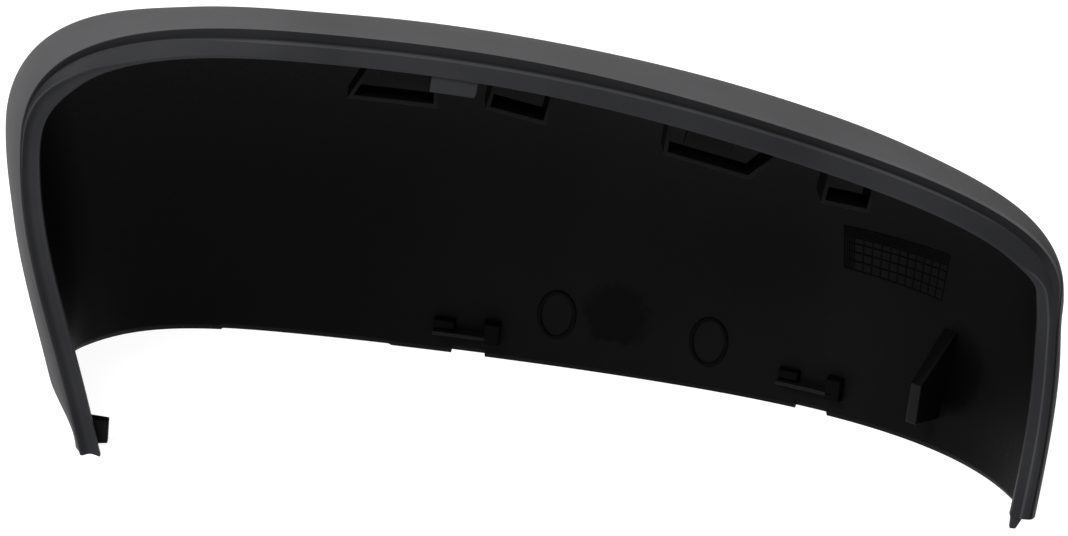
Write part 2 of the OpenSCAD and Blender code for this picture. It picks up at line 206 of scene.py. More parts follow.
def skinPoints(s, v, inside, clamp=True):
    v = np.atleast_1d(np.asarray(v, float))[:, None]
    c = wallControls(s, inside)
    points = (1 - v) ** 3 * c[0] + 3 * (1 - v) ** 2 * v * c[1] + 3 * (1 - v) * v * v * c[2] + v ** 3 * c[3]
    if clamp:
        points[:, 2] = np.maximum(points[:, 2], floorHeight(s))
    return points


def shareAtDepth(s, depth, inside):
    low, high = 0.0, 1.0
    for _ in range(coverShape["halvings"]):
        half = (low + high) / 2
        if (skinPoints(s, half, inside)[0] - rimPoint(s)) @ backward < depth:
            low = half
        else:
            high = half
    return (low + high) / 2


def shareAtHeight(s, height, low, inside):
    high = 1.0
    for _ in range(coverShape["halvings"]):
        half = (low + high) / 2
        if skinPoints(s, half, inside, False)[0][2] > height:
            low = half
        else:
            high = half
    return min((low + high) / 2, 0.995)


def flangeWidth(s):
    shape = coverShape
    return (shape["flangeLeft"] + (shape["flangeTop"] - shape["flangeLeft"]) * along(shape["widenSpan"], s)
            + (shape["flangeBrow"] - shape["flangeTop"]) * along(shape["browSpan"], s)
            - (shape["flangeBrow"] - shape["flangeRight"]) * along(shape["turnSpan"], s))


def crestShare(s):  # share of the flange outside its crest: least on the left, most on top
    least = coverShape["crestMin"]
    return (least + (1 - 2 * least) * along(coverShape["creaseSpan"], s)
            - (1 - least - coverShape["crestRight"]) * along(coverShape["turnSpan"], s))


def roundCorner(a, b, c, radius):  # the corner b between a and c, as a short arc
    p = b + unit(a - b) * min(radius, 0.45 * np.linalg.norm(a - b))
    q = b + unit(c - b) * min(radius, 0.45 * np.linalg.norm(c - b))
    steps = np.linspace(0, 1, coverShape["cornerSteps"])
    return [(1 - t) ** 2 * p + 2 * (1 - t) * t * b + t * t * q for t in steps]


def flangeProfile(s):  # distance inwards and depth behind the rim, with soft corners
    shape = coverShape
    width, crest = flangeWidth(s), crestShare(s)
    turn = along(shape["turnSpan"], s)
    brow = along(shape["roundSpan"], s) - turn  # the rim's edge is rounder towards the top right
    edge, deep = shape["rimEdge"], shape["grooveDepth"]
    nose = width - shape["noseCut"]
    top = edge + (nose - edge) * crest
    ridge = shape["ridgeHeight"] * turn * ease((lastNode - s) / shape["footSpan"])

    left, middle, right = shape["grooveShares"]
    share = left + (middle - left) * along(shape["grooveSpan"], s) + (right - middle) * turn
    bottom = edge + (top - edge) * (share + shape["grooveBrow"] * brow)
    sunk = deep * min(1, shape["grooveOpening"] * crest) * (1 - turn) - ridge / 2
    step = along(shape["stepIn"], s) - along(shape["stepOut"], s)  # up the groove's inner side
    stepPlace = bottom + shape["stepGap"] + shape["stepWidth"] * step
    climbed = (stepPlace - bottom) / max(top - bottom, 0.1)
    stepDepth = sunk * (1 - climbed) - shape["stepHeight"] * step

    dip = top + (nose - top) * shape["dipAt"]
    dipDepth = deep * (1 - crest) * (1 - shape["dipLoss"] * turn)
    sink = shape["noseBack"] * turn
    back = sink + shape["flangeThickness"]
    backIn, backDeep = shape["backStep"]
    corners = [  # inwards, depth, radius
        (0, edge * 3, None), (0, 0, edge * 0.8 + shape["rimRound"] * brow),
        (bottom, sunk, shape["bendRadius"]), (stepPlace, stepDepth, shape["stepRadius"]),
        (top, -ridge, shape["bendRadius"]), (dip, dipDepth, shape["dipRadius"]),
        (width, sink, shape["noseRadius"]), (width, back + shape["noseStep"], shape["bendRadius"]),
        (width - backIn, back + backDeep, None)]
    points = [np.array(corner[:2], float) for corner in corners]
    profile = []
    for k in range(1, len(points) - 1):
        profile += roundCorner(points[k - 1], points[k], points[k + 1], corners[k][2])
    return profile


def coverSection(s):  # one closed section through the wall and the flange
    shape = coverShape
    wall = shape["wall"]
    rim, rimOut = rimPoint(s), onRimPlane(rimSide(s))
    fade = np.linspace(0, 1, shape["outerSteps"], endpoint=False)
    outer = skinPoints(s, 1 - fade ** shape["outerCrowding"], 0)
    lip = np.array([rim - p[0] * rimOut + p[1] * backward for p in flangeProfile(s)])
    lip[:, 2] = np.maximum(lip[:, 2], floorHeight(s))
    start = shareAtDepth(s, shape["flangeBack"], wall)
    foot = skinPoints(s, 1, wall)[0]
    rise = skinPoints(s, start, wall)[0][2] - foot[2]
    end = shareAtHeight(s, foot[2] + min(shape["lipHeight"], shape["lipShare"] * rise), start, wall)
    steps = np.linspace(0, 1, shape["innerSteps"]) ** shape["innerCrowding"]
    inner = skinPoints(s, start + (end - start) * steps, wall)
    lipTop, inner = inner[-1], inner[:-1]
    lipFoot = outer[0] + shape["lipThickness"] * unit(foot - outer[0])  # the chamfer along the wall's foot
    outerFoot = roundCorner(lipFoot, outer[0], outer[1], shape["lipRadius"])
    innerFoot = roundCorner(inner[-1], lipTop, lipFoot, shape["lipRadius"])
    innerFoot += roundCorner(lipTop, lipFoot, outer[0], shape["lipFootRadius"])
    return np.concatenate([outerFoot, outer[1:], lip, inner, innerFoot])


def stationList():
    places = []
    for i, count in enumerate(coverShape["stations"]):
        places += [i + k / count for k in range(count)]
    places.append(float(lastNode))
    slope = coverShape["notchSlope"]
    for place, half in zip(coverShape["notchAt"], notchHalf):
        for side in (-1, 1):
            edge = place + side * half
            places = [p for p in places if abs(p - edge) > coverShape["notchClear"]]
            places += [edge - slope, edge + slope]
    return sorted(places)


def finishPiece(piece):
    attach(piece, "root")
    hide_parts("mirror_cover")


# Finishes

finishes = {
    "satinBlackSkin": {
        "colour": (0.072, 0.072, 0.0745), "rough": 0.6, "specular": 0.03, "grain": 2600.0, "bump": 0.06,
        "cloud": 0.1},
    "fineGrainedRim": {
        "colour": (0.0175, 0.0178, 0.0195), "rough": 0.5, "specular": 0.08, "grain": 2600.0, "bump": 0.06,
        "cloud": 0.25},
    "texturedBlackInside": {
        "colour": (0.0022, 0.0022, 0.0023), "rough": 0.5, "specular": 0.035, "grain": 1400.0, "bump": 0.12,
        "cloud": 0.25},
    "smoothBlackClips": {
        "colour": (0.0028, 0.0028, 0.003), "rough": 0.38, "specular": 0.06, "grain": 1400.0, "bump": 0.05,
        "cloud": 0.25},
    # painted light: a pale finish for the lit fronts of the hook bars and the bracket post
    "paintedLightFront": {
        "colour": (0.0046, 0.0046, 0.0048), "rough": 0.38, "specular": 0.06, "grain": 1400.0, "bump": 0.05,
        "cloud": 0.25},
    # painted shade: a near-black finish for the bracket post's sides, the hook blocks, the ring pads and the
    # wall's foot
    "deepBlackPaintedShade": {
        "colour": (0.0015, 0.0015, 0.0016), "rough": 0.5, "specular": 0.02, "grain": 1400.0, "bump": 0.05,
        "cloud": 0.25},
    # painted shade: a near-black finish for the lines of the date grid, darker than the wall
    "shadedDateMarks": {
        "colour": (0.0015, 0.0015, 0.0016), "rough": 0.5, "specular": 0.02, "grain": 1400.0, "bump": 0.05,
        "cloud": 0.25},
}
insideShadingAndPatch = {  # in metres: painted light and shade on the inside, and the dull patch where the logo was
    "toneAlong": [  # x, tone of the inside: a painted light and shade ramp, darker to the left and at the right end, brighter right of the middle
        (-0.118, 0.42), (-0.05, 0.62), (0.0, 1.05), (0.05, 1.35), (0.08, 1.35), (0.095, 0.9), (0.118, 0.65)],
    # the streak is a painted highlight
    "streakAt": -0.0969, "streakLean": 0.18, "streakWidth": 0.0035, "streakGain": 0.8,
    "streakTop": (0.05, 0.07),
    "spots": [  # centre, radii, how dark, how ragged: first the dull patch where the logo was, then the painted shadow beside the bracket post
        ((0.0246, 0.0306, 0.0163), (0.0085, 0.012, 0.0085), 0.75, 0.28),
        # painted shadow of the gusset beside the bracket post
        ((0.1025, -0.004, 0.023), (0.007, 0.012, 0.0115), 0.9, 0.15)],
    "spotEdge": (0.75, 1.1), "spotNoise": 420.0, "spotWander": 2.5,
}


def newMaterial(name, look):
    material = bpy.data.materials.new(name)
    material.use_nodes = True
    nodes, links = material.node_tree.nodes, material.node_tree.links
    shader = nodes["Principled BSDF"]
    shader.inputs["Specular IOR Level"].default_value = look["specular"]
    place = nodes.new("ShaderNodeTexCoord")

    clouds = nodes.new("ShaderNodeTexNoise")  # slow changes of tone from the melt's flow
    clouds.inputs["Scale"].default_value = 22.0
    clouds.inputs["Detail"].default_value = 4.0
    links.new(place.outputs["Object"], clouds.inputs["Vector"])
    tone = nodes.new("ShaderNodeValToRGB")
    dark, pale = tone.color_ramp.elements
    dark.position, pale.position = 0.35, 0.68
    dark.color = tuple(c * (1 - look["cloud"]) for c in look["colour"]) + (1,)
    pale.color = tuple(c * (1 + look["cloud"]) for c in look["colour"]) + (1,)
    links.new(clouds.outputs["Fac"], tone.inputs["Fac"])
    links.new(tone.outputs["Color"], shader.inputs["Base Color"])

    grains = nodes.new("ShaderNodeTexNoise")  # the etched grain of the mould
    grains.inputs["Scale"].default_value = look["grain"]
    grains.inputs["Detail"].default_value = 3.0
    links.new(place.outputs["Object"], grains.inputs["Vector"])
    rough = nodes.new("ShaderNodeMapRange")
    rough.inputs["From Min"].default_value = 0.3
    rough.inputs["From Max"].default_value = 0.7
    rough.inputs["To Min"].default_value = look["rough"] - 0.05
    rough.inputs["To Max"].default_value = look["rough"] + 0.07
    links.new(grains.outputs["Fac"], rough.inputs["Value"])
    links.new(rough.outputs["Result"], shader.inputs["Roughness"])
    relief = nodes.new("ShaderNodeBump")
    relief.inputs["Strength"].default_value = look["bump"]
    relief.inputs["Distance"].default_value = 0.0002
    links.new(grains.outputs["Fac"], relief.inputs["Height"])
    links.new(relief.outputs["Normal"], shader.inputs["Normal"])
    return material


def scaleColour(material, factor):  # multiplies a finish's colour by a factor from another node
    nodes, links = material.node_tree.nodes, material.node_tree.links
    socket = nodes["Principled BSDF"].inputs["Base Color"]
    scale = nodes.new("ShaderNodeVectorMath")
    scale.operation = "SCALE"
    links.new(socket.links[0].from_socket, scale.inputs[0])
    links.new(factor, scale.inputs["Scale"])
    links.new(scale.outputs["Vector"], socket)


def numberNode(material, operation, a, b=0.0):
    node = material.node_tree.nodes.new("ShaderNodeMath")
    node.operation = operation
    for socket, value in zip(node.inputs, (a, b)):
        if isinstance(value, (int, float)):
            socket.default_value = value
        else:
            material.node_tree.links.new(value, socket)
    return node.outputs["Value"]


def rangeNode(material, value, low, high, start, end):
    node = material.node_tree.nodes.new("ShaderNodeMapRange")
    node.interpolation_type = "SMOOTHSTEP"
    for name, number in (("From Min", low), ("From Max", high), ("To Min", start), ("To Max", end)):
        node.inputs[name].default_value = number
    material.node_tree.links.new(value, node.inputs["Value"])
    return node.outputs["Result"]


def toneFactor(material, axes):  # painted light and shade, changing slowly along the cover
    steps = insideShadingAndPatch["toneAlong"]
    factor = 1.0
    for (x0, tone0), (x1, tone1) in zip(steps, steps[1:]):
        part = rangeNode(material, axes.outputs["X"], x0, x1, 1.0, tone1 / tone0)
        factor = numberNode(material, "MULTIPLY", part, factor)
    return numberNode(material, "MULTIPLY", factor, steps[0][1])


def highlightStreakFactor(material, axes):  # one painted highlight streak that leans with the left side, along its inner corner
    leaning = numberNode(material, "MULTIPLY", axes.outputs["Z"], insideShadingAndPatch["streakLean"])
    across = numberNode(material, "ADD", axes.outputs["X"], leaning)
    across = numberNode(material, "SUBTRACT", across, insideShadingAndPatch["streakAt"])
    across = numberNode(material, "ABSOLUTE", across)
    streak = rangeNode(material, across, 0.0, insideShadingAndPatch["streakWidth"], insideShadingAndPatch["streakGain"], 0.0)
    height = rangeNode(material, axes.outputs["Z"], *insideShadingAndPatch["streakTop"], 1.0, 0.0)
    return numberNode(material, "ADD", numberNode(material, "MULTIPLY", streak, height), 1.0)


def spotFactor(material, place, centre, radii, dark, ragged):  # a darkened spot with a wandering edge, used for the dull patch and for the painted shadow
    nodes, links = material.node_tree.nodes, material.node_tree.links
    mapping = nodes.new("ShaderNodeMapping")
    mapping.inputs["Scale"].default_value = [1 / x for x in radii]
    mapping.inputs["Location"].default_value = [-c / x for c, x in zip(centre, radii)]
    links.new(place, mapping.inputs["Vector"])
    length = nodes.new("ShaderNodeVectorMath")
    length.operation = "LENGTH"
    links.new(mapping.outputs["Vector"], length.inputs[0])
    noise = nodes.new("ShaderNodeTexNoise")
    noise.inputs["Scale"].default_value = insideShadingAndPatch["spotNoise"]
    links.new(place, noise.inputs["Vector"])
    wander = numberNode(material, "SUBTRACT", noise.outputs["Fac"], 0.5)
    wander = numberNode(material, "MULTIPLY", wander, ragged * insideShadingAndPatch["spotWander"])
    distance = numberNode(material, "ADD", length.outputs["Value"], wander)
    return rangeNode(material, distance, *insideShadingAndPatch["spotEdge"], 1 - dark, 1.0)


# Painted light on the inside finish: the ramp along x, the highlight streak and the shadow beside the post,
# with the dull patch
def shadeInside(material):
    nodes, links = material.node_tree.nodes, material.node_tree.links
    place = nodes.new("ShaderNodeTexCoord").outputs["Object"]
    axes = nodes.new("ShaderNodeSeparateXYZ")
    links.new(place, axes.inputs["Vector"])
    factor = numberNode(material, "MULTIPLY", toneFactor(material, axes), highlightStreakFactor(material, axes))
    for spot in insideShadingAndPatch["spots"]:
        factor = numberNode(material, "MULTIPLY", factor, spotFactor(material, place, *spot))
    scaleColour(material, factor)


def followPaintedLight(material):  # the shell's painted-light attribute brightens the finish as a painted highlight or darkens it as painted shade
    paintedLight = material.node_tree.nodes.new("ShaderNodeAttribute")
    paintedLight.attribute_name = "paintedLight"
    scaleColour(material, numberNode(material, "ADD", paintedLight.outputs["Fac"], 1.0))


skinPlastic, rimPlastic, innerPlastic, clipPlastic, frontPlastic, darkShadePlastic, gridPlastic = (
    newMaterial(name, look) for name, look in finishes.items())
shadeInside(innerPlastic)
followPaintedLight(skinPlastic)
followPaintedLight(rimPlastic)
print("finishes made")

# The shell, with its flange

stations = stationList()
sections = [coverSection(s) for s in stations]
ringCount = len(sections[0])
shellPoints = np.concatenate(sections)
shift = np.array([-(shellPoints[:, 0].min() + shellPoints[:, 0].max()) / 2,
                  -(shellPoints[:, 1].min() + shellPoints[:, 1].max()) / 2, 0.0])
fit = [min(1.0, cadBounds[1][k] * 1000 / (shellPoints + shift)[:, k].max()) for k in range(3)]

# Rings of the section: each corner of the flange is an arc of cornerSteps points
firstLip = coverShape["outerSteps"] + coverShape["cornerSteps"] - 1
skinEnd = firstLip + 2
flangeEnd = firstLip + len(flangeProfile(0)) - 2
footStart = ringCount - 2 * coverShape["cornerSteps"] + 1
paintedLightRules = {  # places along the cover, with the painted light there: above nought a painted highlight, below it painted shade
    # painted shade on the skin behind the rim: at the left foot and down the right side
    "skinShade": ((0, -0.5), (0.3, -0.3), (0.9, -0.2), (1.3, 0), (3.6, 0), (4.2, -0.85)),
    "shadeBelt": (skinEnd - 9, skinEnd - 1),
    # painted shade on the groove
    "grooveFaces": range(firstLip + 3, firstLip + 7),
    "grooveShade": (
        (0, -0.1), (1.1, -0.1), (1.5, -0.37), (2.2, -0.42), (3.0, -0.6), (3.7, -0.6), (3.85, -0.2)),
    # painted highlights on the groove's step and on the crest
    "stepFaces": range(firstLip + 7, firstLip + 11), "stepIn": (1.7, 1.95), "stepOut": (3.35, 3.7),
    "crestFaces": range(firstLip + 12, firstLip + 15), "crestIn": (0.85, 0.95), "crestOut": (1.2, 1.4),
    "rightCrest": (3.72, 3.85), "rightShare": 0.8,
    # painted shade on the right of the flange's inner face
    "innerFaces": range(firstLip + 15, flangeEnd), "innerShade": -0.3, "innerSpan": (3.9, 4.4),
}


def paintedLightOf(s, j):  # painted highlights on the groove's step and on the crest, painted shade on the skin's ends near the rim, the groove and the right of the flange's inner face
    rules = paintedLightRules
    if j <= skinEnd:
        return np.interp(s, *zip(*rules["skinShade"])) * along(rules["shadeBelt"], j)
    if j in rules["grooveFaces"]:
        return np.interp(s, *zip(*rules["grooveShade"]))
    if j in rules["stepFaces"]:
        return along(rules["stepIn"], s) - along(rules["stepOut"], s)
    if j in rules["crestFaces"]:
        crest = along(rules["crestIn"], s) - along(rules["crestOut"], s)
        return crest + rules["rightShare"] * along(rules["rightCrest"], s)
    if j in rules["innerFaces"]:
        return rules["innerShade"] * along(rules["innerSpan"], s)
    return 0.0


def finishOf(j):  # skin, rim, inside, and the wall's foot, which takes the dark finish as painted shade
    return 0 if j <= skinEnd else 1 if j < flangeEnd else 2 if j < footStart else 3


shellFaces, shellSlots, shellPaintedLight = [], [], []
for i in range(len(stations) - 1):
    for j in range(ringCount):
        a, b = i * ringCount + j, i * ringCount + (j + 1) % ringCount
        shellFaces.append((a, b, b + ringCount, a + ringCount))
        shellSlots.append(finishOf(j))
        shellPaintedLight.append(paintedLightOf(stations[i], j))
shellFaces.append(tuple(range(ringCount - 1, -1, -1)))
shellFaces.append(tuple((len(stations) - 1) * ringCount + j for j in range(ringCount)))
shellSlots += [0, 0]
shellPaintedLight += [0.0, 0.0]

shellMesh = bpy.data.meshes.new("coverShell")
shellMesh.from_pydata([tuple(v) for v in (shellPoints + shift) * fit / 1000], [], shellFaces)
shellMesh.validate()
for plastic in (skinPlastic, rimPlastic, innerPlastic, darkShadePlastic):
    shellMesh.materials.append(plastic)
shellMesh.polygons.foreach_set("material_index", shellSlots)
shellMesh.shade_smooth()
shellMesh.set_sharp_from_angle(angle=math.radians(50))
shellMesh.update()
coverShell = bpy.data.objects.new("coverShell", shellMesh)
bpy.context.scene.collection.objects.link(coverShell)
shellMesh.attributes.new("paintedLight", "FLOAT", "FACE").data.foreach_set("value", shellPaintedLight)
finishPiece(coverShell)
print("shell made:", len(shellFaces), "faces, shift", shift.round(2))

# Places on the rim and on the inner face


def axesMatrix(x, y, z, origin):
    matrix = Matrix(((x[0], y[0], z[0]), (x[1], y[1], z[1]), (x[2], y[2], z[2]))).to_4x4()
    matrix.translation = Vector(origin + shift)
    return matrix


def rimMatrix(s):  # x along the rim, y into the shell, z outwards
    side = rimSide(s)
    return axesMatrix(onRimPlane((side[1], -side[0])), backward, onRimPlane(side), rimPoint(s))


def roofHeight(s, depth):
    share = shareAtDepth(s, depth, coverShape["wall"])
    return float((skinPoints(s, share, coverShape["wall"])[0] - rimPoint(s)) @ onRimPlane(rimSide(s)))


def wallMatrix(s, v):  # x along the cover, y up, z off the inner face
    inside, step = coverShape["wall"], 2 * coverShape["nudge"]
    across = skinPoints(s + step, v, inside, False)[0] - skinPoints(s - step, v, inside, False)[0]
    up = skinPoints(s, v - step, inside, False)[0] - skinPoints(s, v + step, inside, False)[0]
    off = unit(np.cross(across, up))
    x = unit(np.array([across[0], across[1], 0]))
    return axesMatrix(x, np.cross(off, x), off, skinPoints(s, v, inside, False)[0])


def hullPiece(groups):  # a convex solid round all the points of several (matrix, points) groups
    work = bmesh.new()
    for matrix, points in groups:
        for p in points:
            work.verts.new(matrix @ Vector(p))
    bmesh.ops.convex_hull(work, input=work.verts)
    loose = [v for v in work.verts if not v.link_faces]
    bmesh.ops.delete(work, geom=loose, context="VERTS")
    bmesh.ops.dissolve_limit(work, angle_limit=math.radians(2), verts=work.verts, edges=work.edges)
    return work


def framePiece(matrix, outer, inner, front, deep):  # a hollow prism between two loops of equal length
    work = bmesh.new()
    loops = []
    for loop, y in ((outer, front), (outer, front + deep), (inner, front + deep), (inner, front)):
        loops.append([work.verts.new(matrix @ Vector((p[0], y, p[1]))) for p in loop])
    count = len(outer)
    for k in range(4):
        a, b = loops[k], loops[(k + 1) % 4]
        for j in range(count):
            work.faces.new((a[j], a[(j + 1) % count], b[(j + 1) % count], b[j]))
    bmesh.ops.recalc_face_normals(work, faces=work.faces)
    return work


def boxCorners(low, high):
    return [(x, y, z) for x in (low[0], high[0]) for y in (low[1], high[1]) for z in (low[2], high[2])]


def clipObject(name, works, material, bevel):
    mesh = bpy.data.meshes.new(name)
    joined = bmesh.new()
    for work in works:
        part = bpy.data.meshes.new("part")
        work.to_mesh(part)
        joined.from_mesh(part)
        bpy.data.meshes.remove(part)
        work.free()
    bmesh.ops.recalc_face_normals(joined, faces=joined.faces)
    bmesh.ops.scale(joined, vec=(0.001, 0.001, 0.001), verts=joined.verts)
    joined.to_mesh(mesh)
    joined.free()
    mesh.materials.append(material)
    piece = bpy.data.objects.new(name, mesh)
    bpy.context.scene.collection.objects.link(piece)
    rounding = piece.modifiers.new("softEdges", "BEVEL")
    rounding.width = bevel / 1000
    rounding.segments = 2
    rounding.limit_method = "ANGLE"
    rounding.angle_limit = math.radians(25)
    mesh.shade_smooth()
    mesh.set_sharp_from_angle(angle=math.radians(40))
    finishPiece(piece)
    return piece


# Sockets and trays behind the flange

clipRow = {
    "front": 6.0, "thickness": 0.9, "openTop": 0.2, "bevel": 0.18,
    "sockets": [{"at": 2.517, "width": 12.3, "turn": -5}, {"at": 3.178, "width": 9.6, "turn": 8}],
    "socketDrop": 15.1, "socketDepth": 12.0,
    "trays": [{"at": 2.224, "leanLeft": 0.5, "leanRight": 0.1, "catch": 2.2},
              {"at": 2.916, "leanLeft": -0.15, "leanRight": -0.65, "catch": -1.0}],
    "trayWidth": 20.4, "trayDrop": 16.0, "trayDepth": 10.0, "slantWall": 1.1,
    "catchWidth": 11.0, "catchGap": 2.6, "catchBack": 0.8, "catchLip": 1.5, "catchThickness": (1.2, 3.0),
}
front, ribWall, openTop = clipRow["front"], clipRow["thickness"], clipRow["openTop"]
halfWall = coverShape["wall"] / 2  # how deep each clip is sunk into the wall
socketWorks = []
for socket in clipRow["sockets"]:
    drop = clipRow["socketDrop"]
    top = roofHeight(socket["at"], front + clipRow["socketDepth"] / 2) + halfWall + drop
    half = socket["width"] / 2
    outer = [(-half - ribWall, top), (-half - ribWall, 0), (half + ribWall, 0), (half + ribWall, top)]
    inner = [(-half, top - openTop), (-half, ribWall), (half, ribWall), (half, top - openTop)]
    turned = Matrix.Rotation(math.radians(-socket["turn"]), 4, "Y")
    place = rimMatrix(socket["at"]) @ Matrix.Translation((0, 0, -drop)) @ turned
    socketWorks.append(framePiece(place, outer, inner, front, clipRow["socketDepth"]))
clipObject("rimSockets", socketWorks, clipPlastic, clipRow["bevel"])

trayWorks = []
for tray in clipRow["trays"]:
    drop = clipRow["trayDrop"]
    rise = roofHeight(tray["at"], front + clipRow["trayDepth"] / 2) + halfWall + drop
    half = clipRow["trayWidth"] / 2
    left, right, slant = tray["leanLeft"], tray["leanRight"], ribWall * clipRow["slantWall"]
    outer = [(left * rise - half, rise), (-half, 0), (half, 0), (half - right * rise, rise)]
    inner = [(left * rise - half + slant, rise - openTop), (slant - half + left * ribWall, ribWall),
             (half - slant - right * ribWall, ribWall), (half - right * rise - slant, rise - openTop)]
    place = rimMatrix(tray["at"]) @ Matrix.Translation((0, 0, -drop))
    trayWorks.append(framePiece(place, outer, inner, front, clipRow["trayDepth"]))
    low, half, mid = ribWall + clipRow["catchGap"], clipRow["catchWidth"] / 2, tray["catch"]
    near, (tip, root) = front + clipRow["catchBack"], clipRow["catchThickness"]
    high = drop + roofHeight(tray["at"], near + tip)
    catchEnd = boxCorners((mid - half, near, low), (mid + half, near + tip, low + clipRow["catchLip"]))
    near += tip / 2
    catchRoot = boxCorners((mid - half, near, high), (mid + half, near + root, high + halfWall))
    trayWorks.append(hullPiece([(place, catchEnd + catchRoot)]))
clipObject("rimTrays", trayWorks, clipPlastic, clipRow["bevel"])

tabSizes = {"at": 2.362, "width": 10.3, "drop": 3.8, "back": 0.7, "thickness": 1.6, "tipThickness": 1.3,
            "slope": 0.3, "slice": 1.0, "bevel": 0.3}
half, drop, cut = tabSizes["width"] / 2, tabSizes["drop"], tabSizes["slope"]
thick, slab = tabSizes["thickness"], tabSizes["slice"]
place = rimMatrix(tabSizes["at"]) @ Matrix.Translation((0, tabSizes["back"], -flangeWidth(tabSizes["at"])))
tabCorners = (boxCorners((-half, cut, -drop), (half - cut, tabSizes["tipThickness"], slab - drop))
              + boxCorners((-half, cut, slab - drop), (half, thick, 2 * slab - drop))
              + boxCorners((-half, 0, 0), (half, thick, slab)))
clipObject("rimTab", [hullPiece([(place, tabCorners)])], rimPlastic, tabSizes["bevel"])
print("sockets, trays and tab made")

# Hooks, post and peg

blockDraft = 0.3


def draftBlock(low, high, reach):  # a block off the wall, a little smaller above its root
    d = blockDraft
    return (boxCorners((low[0], low[1], -halfWall), (high[0], high[1], 0))
            + boxCorners((low[0] + d, low[1] + d, 0), (high[0] - d, high[1] - d, reach)))


hookSizes = {"at": [2.505, 3.208], "down": [0.969, 0.959], "width": 16.5, "reach": 3.2, "bevel": 0.2,
             "leftWidth": 5.4, "leftSpan": (0.3, 2.9), "leftShare": 0.7,
             "rightWidth": 4.2, "rightSpan": (-2.4, 3.6)}
barWorks, hookWorks = [], []
for at, down in zip(hookSizes["at"], hookSizes["down"]):
    place = wallMatrix(at, down)
    half, reach = hookSizes["width"] / 2, hookSizes["reach"]
    left, right = hookSizes["leftWidth"] - half, half - hookSizes["rightWidth"]
    barEnd = half - hookSizes["rightWidth"] / 2
    barWorks.append(hullPiece([(place, boxCorners((-half, -ribWall, -halfWall), (barEnd, 0, reach)))]))
    low, high = hookSizes["leftSpan"]
    leftBlock = draftBlock((-half, low), (left, high), reach * hookSizes["leftShare"])
    low, high = hookSizes["rightSpan"]
    rightBlock = draftBlock((right, low), (half, high), reach)
    hookWorks += [hullPiece([(place, leftBlock)]), hullPiece([(place, rightBlock)])]
# the bars are pale all over: painted light on their lit fronts
clipObject("lowerBars", barWorks, frontPlastic, hookSizes["bevel"])
# the hook blocks are near-black: painted shade
clipObject("lowerHooks", hookWorks, darkShadePlastic, hookSizes["bevel"])

postSizes = {"at": 3.552, "down": 0.91, "height": 10.5, "width": 3.6, "reach": 9.0, "bevel": 0.25,
             "gussetAt": 3.556, "gussetHeight": 20.0, "lowShare": 0.005}
top, half = postSizes["height"] / 2, postSizes["width"] / 2
postPlace = wallMatrix(postSizes["at"], postSizes["down"])
gussetDown = postSizes["down"] - (top + postSizes["gussetHeight"]) * postSizes["lowShare"]
postWork = hullPiece([
    (postPlace, draftBlock((-half, -top), (half, top), postSizes["reach"])),
    (wallMatrix(postSizes["gussetAt"], gussetDown), boxCorners((-half, 0, -halfWall), (half, 1, 0)))])
bracketPost = clipObject("bracketPost", [postWork], darkShadePlastic, postSizes["bevel"])
# the post's face towards the opening is pale, painted light; its other faces are near-black, painted shade
bracketPost.data.materials.append(frontPlastic)
outwards = Vector(postPlace.col[2][:3])
for face in bracketPost.data.polygons:
    face.material_index = 1 if face.normal.dot(outwards) > 0.95 else 0

pegSizes = {"at": 0.045, "side": 5.4, "near": 5.0, "far": 8.0, "end": 7.2, "root": 1.75, "slice": 1.25,
            "taper": 0.3, "bevel": 0.25}
half, near, far = pegSizes["side"] / 2, pegSizes["near"], pegSizes["far"]
wide = pegSizes["taper"]
pegEnd = boxCorners((-half, near, -pegSizes["end"]), (half, far, pegSizes["slice"] - pegSizes["end"]))
pegRoot = boxCorners((-half - wide, near - wide, -pegSizes["root"] - pegSizes["slice"]),
                     (half + wide, far + wide, -pegSizes["root"]))
pegWork = hullPiece([(rimMatrix(pegSizes["at"]), pegEnd + pegRoot)])
clipObject("footPeg", [pegWork], clipPlastic, pegSizes["bevel"])

tongueSizes = {"back": 1.0, "rootHeight": (3.0, 5.5), "rootThickness": 1.8, "rootShare": 0.4,
               "tipHeight": (0.0, 0.3), "tipThickness": 1.5, "tipShare": 0.7, "bevel": 0.2}
foot = Vector(rimPoint(lastNode) + shift)
inset, back = coverShape["flangeRight"], tongueSizes["back"]
tongueCorners = []
for end in ("root", "tip"):
    low, high = tongueSizes[end + "Height"]
    reach, thick = -tongueSizes[end + "Share"] * inset, tongueSizes[end + "Thickness"]
    tongueCorners += boxCorners((-inset, back, low), (reach, back + thick, high))
tongueWork = hullPiece([(Matrix.Translation((foot.x, foot.y, 0)), tongueCorners)])
clipObject("footTongue", [tongueWork], rimPlastic, tongueSizes["bevel"])
print("hooks, post, peg and tongue made")

# Beads that follow lines on the inner face: the ring pads and the date grid


